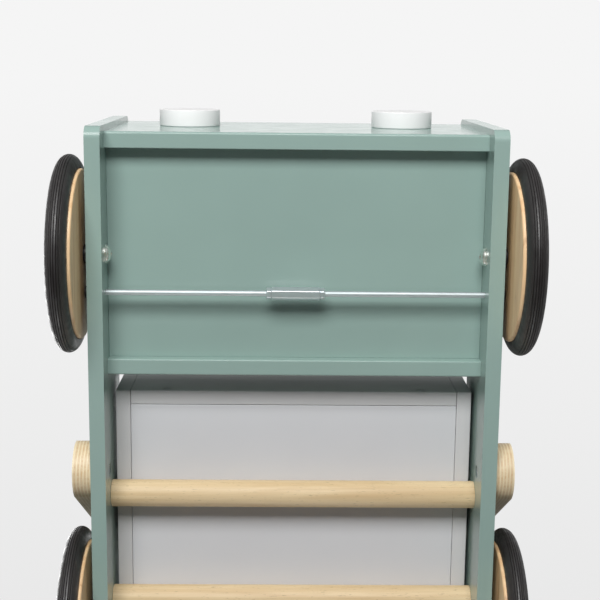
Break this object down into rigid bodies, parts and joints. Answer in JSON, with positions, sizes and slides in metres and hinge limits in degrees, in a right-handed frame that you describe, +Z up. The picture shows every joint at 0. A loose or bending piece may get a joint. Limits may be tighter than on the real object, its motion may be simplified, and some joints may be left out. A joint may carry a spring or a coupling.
{
  "type": "push-along walker truck",
  "caption": "Wooden toddler's push-along truck with an open cab, a lift-out crate, rubber-tyred wheels, a push handle and a screw brake.",
  "frame": {"origin": "on the ground under the middle of the truck, between its headlights and the back of its rear tyres", "axes": "+Z up, front of the truck towards -Y, +X to the right as seen from the front; left is -X"},
  "size_m": [0.41, 0.535, 0.4572],
  "materials": {
    "sage_paint": "satin painted board",
    "grey_paint": "satin painted board",
    "pale_grey_paint": "satin painted board",
    "white_paint": "satin painted turned disc",
    "beech": "clear matt lacquer over beech",
    "birch_ply": "clear matt lacquer over birch plywood, edges showing the plies",
    "wheel_ply": "clear matt lacquer over light wood",
    "tyre_rubber": "matt black moulded rubber",
    "pad_rubber": "matt black rubber",
    "black_plastic": "moulded nylon",
    "zinc_steel": "bright zinc plate",
    "bright_steel": "bright nickel plate"
  },
  "bodies": {
    "chassis": {"side_panel_left": "sage_paint", "side_panel_right": "sage_paint", "front_wall": "sage_paint", "cab_floor": "sage_paint", "cab_rear_wall": "sage_paint", "headlight_left": "white_paint", "headlight_right": "white_paint", "cross_bar_front": "beech", "cross_bar_rear": "beech", "handle_bar": "beech", "handle_arm_left": "birch_ply", "handle_arm_right": "birch_ply", "handle_bar_screws": "zinc_steel", "handle_arm_bolts": "zinc_steel", "handle_arm_nuts": "zinc_steel", "panel_screws": "zinc_steel", "axle_bolts": "bright_steel", "axle_washers": "bright_steel", "axle_nuts": "bright_steel", "axle_spacers": "black_plastic"},
    "wheel_front_left": {"tyre_front_left": "tyre_rubber", "wheel_disc_front_left": "wheel_ply", "hub_bush_front_left": "black_plastic", "hub_cap_front_left": "white_paint"},
    "wheel_front_right": {"tyre_front_right": "tyre_rubber", "wheel_disc_front_right": "wheel_ply", "hub_bush_front_right": "black_plastic", "hub_cap_front_right": "white_paint"},
    "wheel_rear_left": {"tyre_rear_left": "tyre_rubber", "wheel_disc_rear_left": "wheel_ply", "hub_bush_rear_left": "black_plastic", "hub_cap_rear_left": "white_paint"},
    "wheel_rear_right": {"tyre_rear_right": "tyre_rubber", "wheel_disc_rear_right": "wheel_ply", "hub_bush_rear_right": "black_plastic", "hub_cap_rear_right": "white_paint"},
    "brake_sleeve": {"brake_sleeve": "zinc_steel"},
    "brake_rod_left": {"brake_rod_left": "zinc_steel", "brake_pad_left": "pad_rubber", "lock_nut_left": "zinc_steel"},
    "brake_rod_right": {"brake_rod_right": "zinc_steel", "brake_pad_right": "pad_rubber", "lock_nut_right": "zinc_steel"},
    "crate": {"crate_side_left": "grey_paint", "crate_side_right": "grey_paint", "crate_front_board": "grey_paint", "crate_rear_board": "grey_paint", "crate_floor": "pale_grey_paint", "crate_screws": "zinc_steel"}
  },
  "joints": [
    {"name": "wheel_front_left_spin", "type": "hinge", "parent": "chassis", "child": "wheel_front_left", "pos_m": [0, -0.1495, 0.084], "axis": [1, 0, 0], "continuous": true},
    {"name": "wheel_front_right_spin", "type": "hinge", "parent": "chassis", "child": "wheel_front_right", "pos_m": [0, -0.1495, 0.084], "axis": [1, 0, 0], "continuous": true},
    {"name": "wheel_rear_left_spin", "type": "hinge", "parent": "chassis", "child": "wheel_rear_left", "pos_m": [0, 0.1835, 0.084], "axis": [1, 0, 0], "continuous": true},
    {"name": "wheel_rear_right_spin", "type": "hinge", "parent": "chassis", "child": "wheel_rear_right", "pos_m": [0, 0.1835, 0.084], "axis": [1, 0, 0], "continuous": true},
    {"name": "brake_turn", "type": "hinge", "parent": "chassis", "child": "brake_sleeve", "pos_m": [0, -0.1164, 0.084], "axis": [1, 0, 0], "range_deg": [0, 180]},
    {"name": "brake_rod_left_slide", "type": "slide", "parent": "chassis", "child": "brake_rod_left", "axis": [-1, 0, 0], "range_m": [0, 0.0004]},
    {"name": "brake_rod_right_slide", "type": "slide", "parent": "chassis", "child": "brake_rod_right", "axis": [1, 0, 0], "range_m": [0, 0.0004]},
    {"name": "crate_lift", "type": "slide", "parent": "chassis", "child": "crate", "axis": [0, 0, 1], "range_m": [0, 0.15]}
  ],
  "couplings": [
    {"joint": "brake_turn", "follows": "brake_rod_left_slide", "rad_per_m": 7850},
    {"joint": "brake_rod_right_slide", "follows": "brake_rod_left_slide", "ratio": 1}
  ]
}
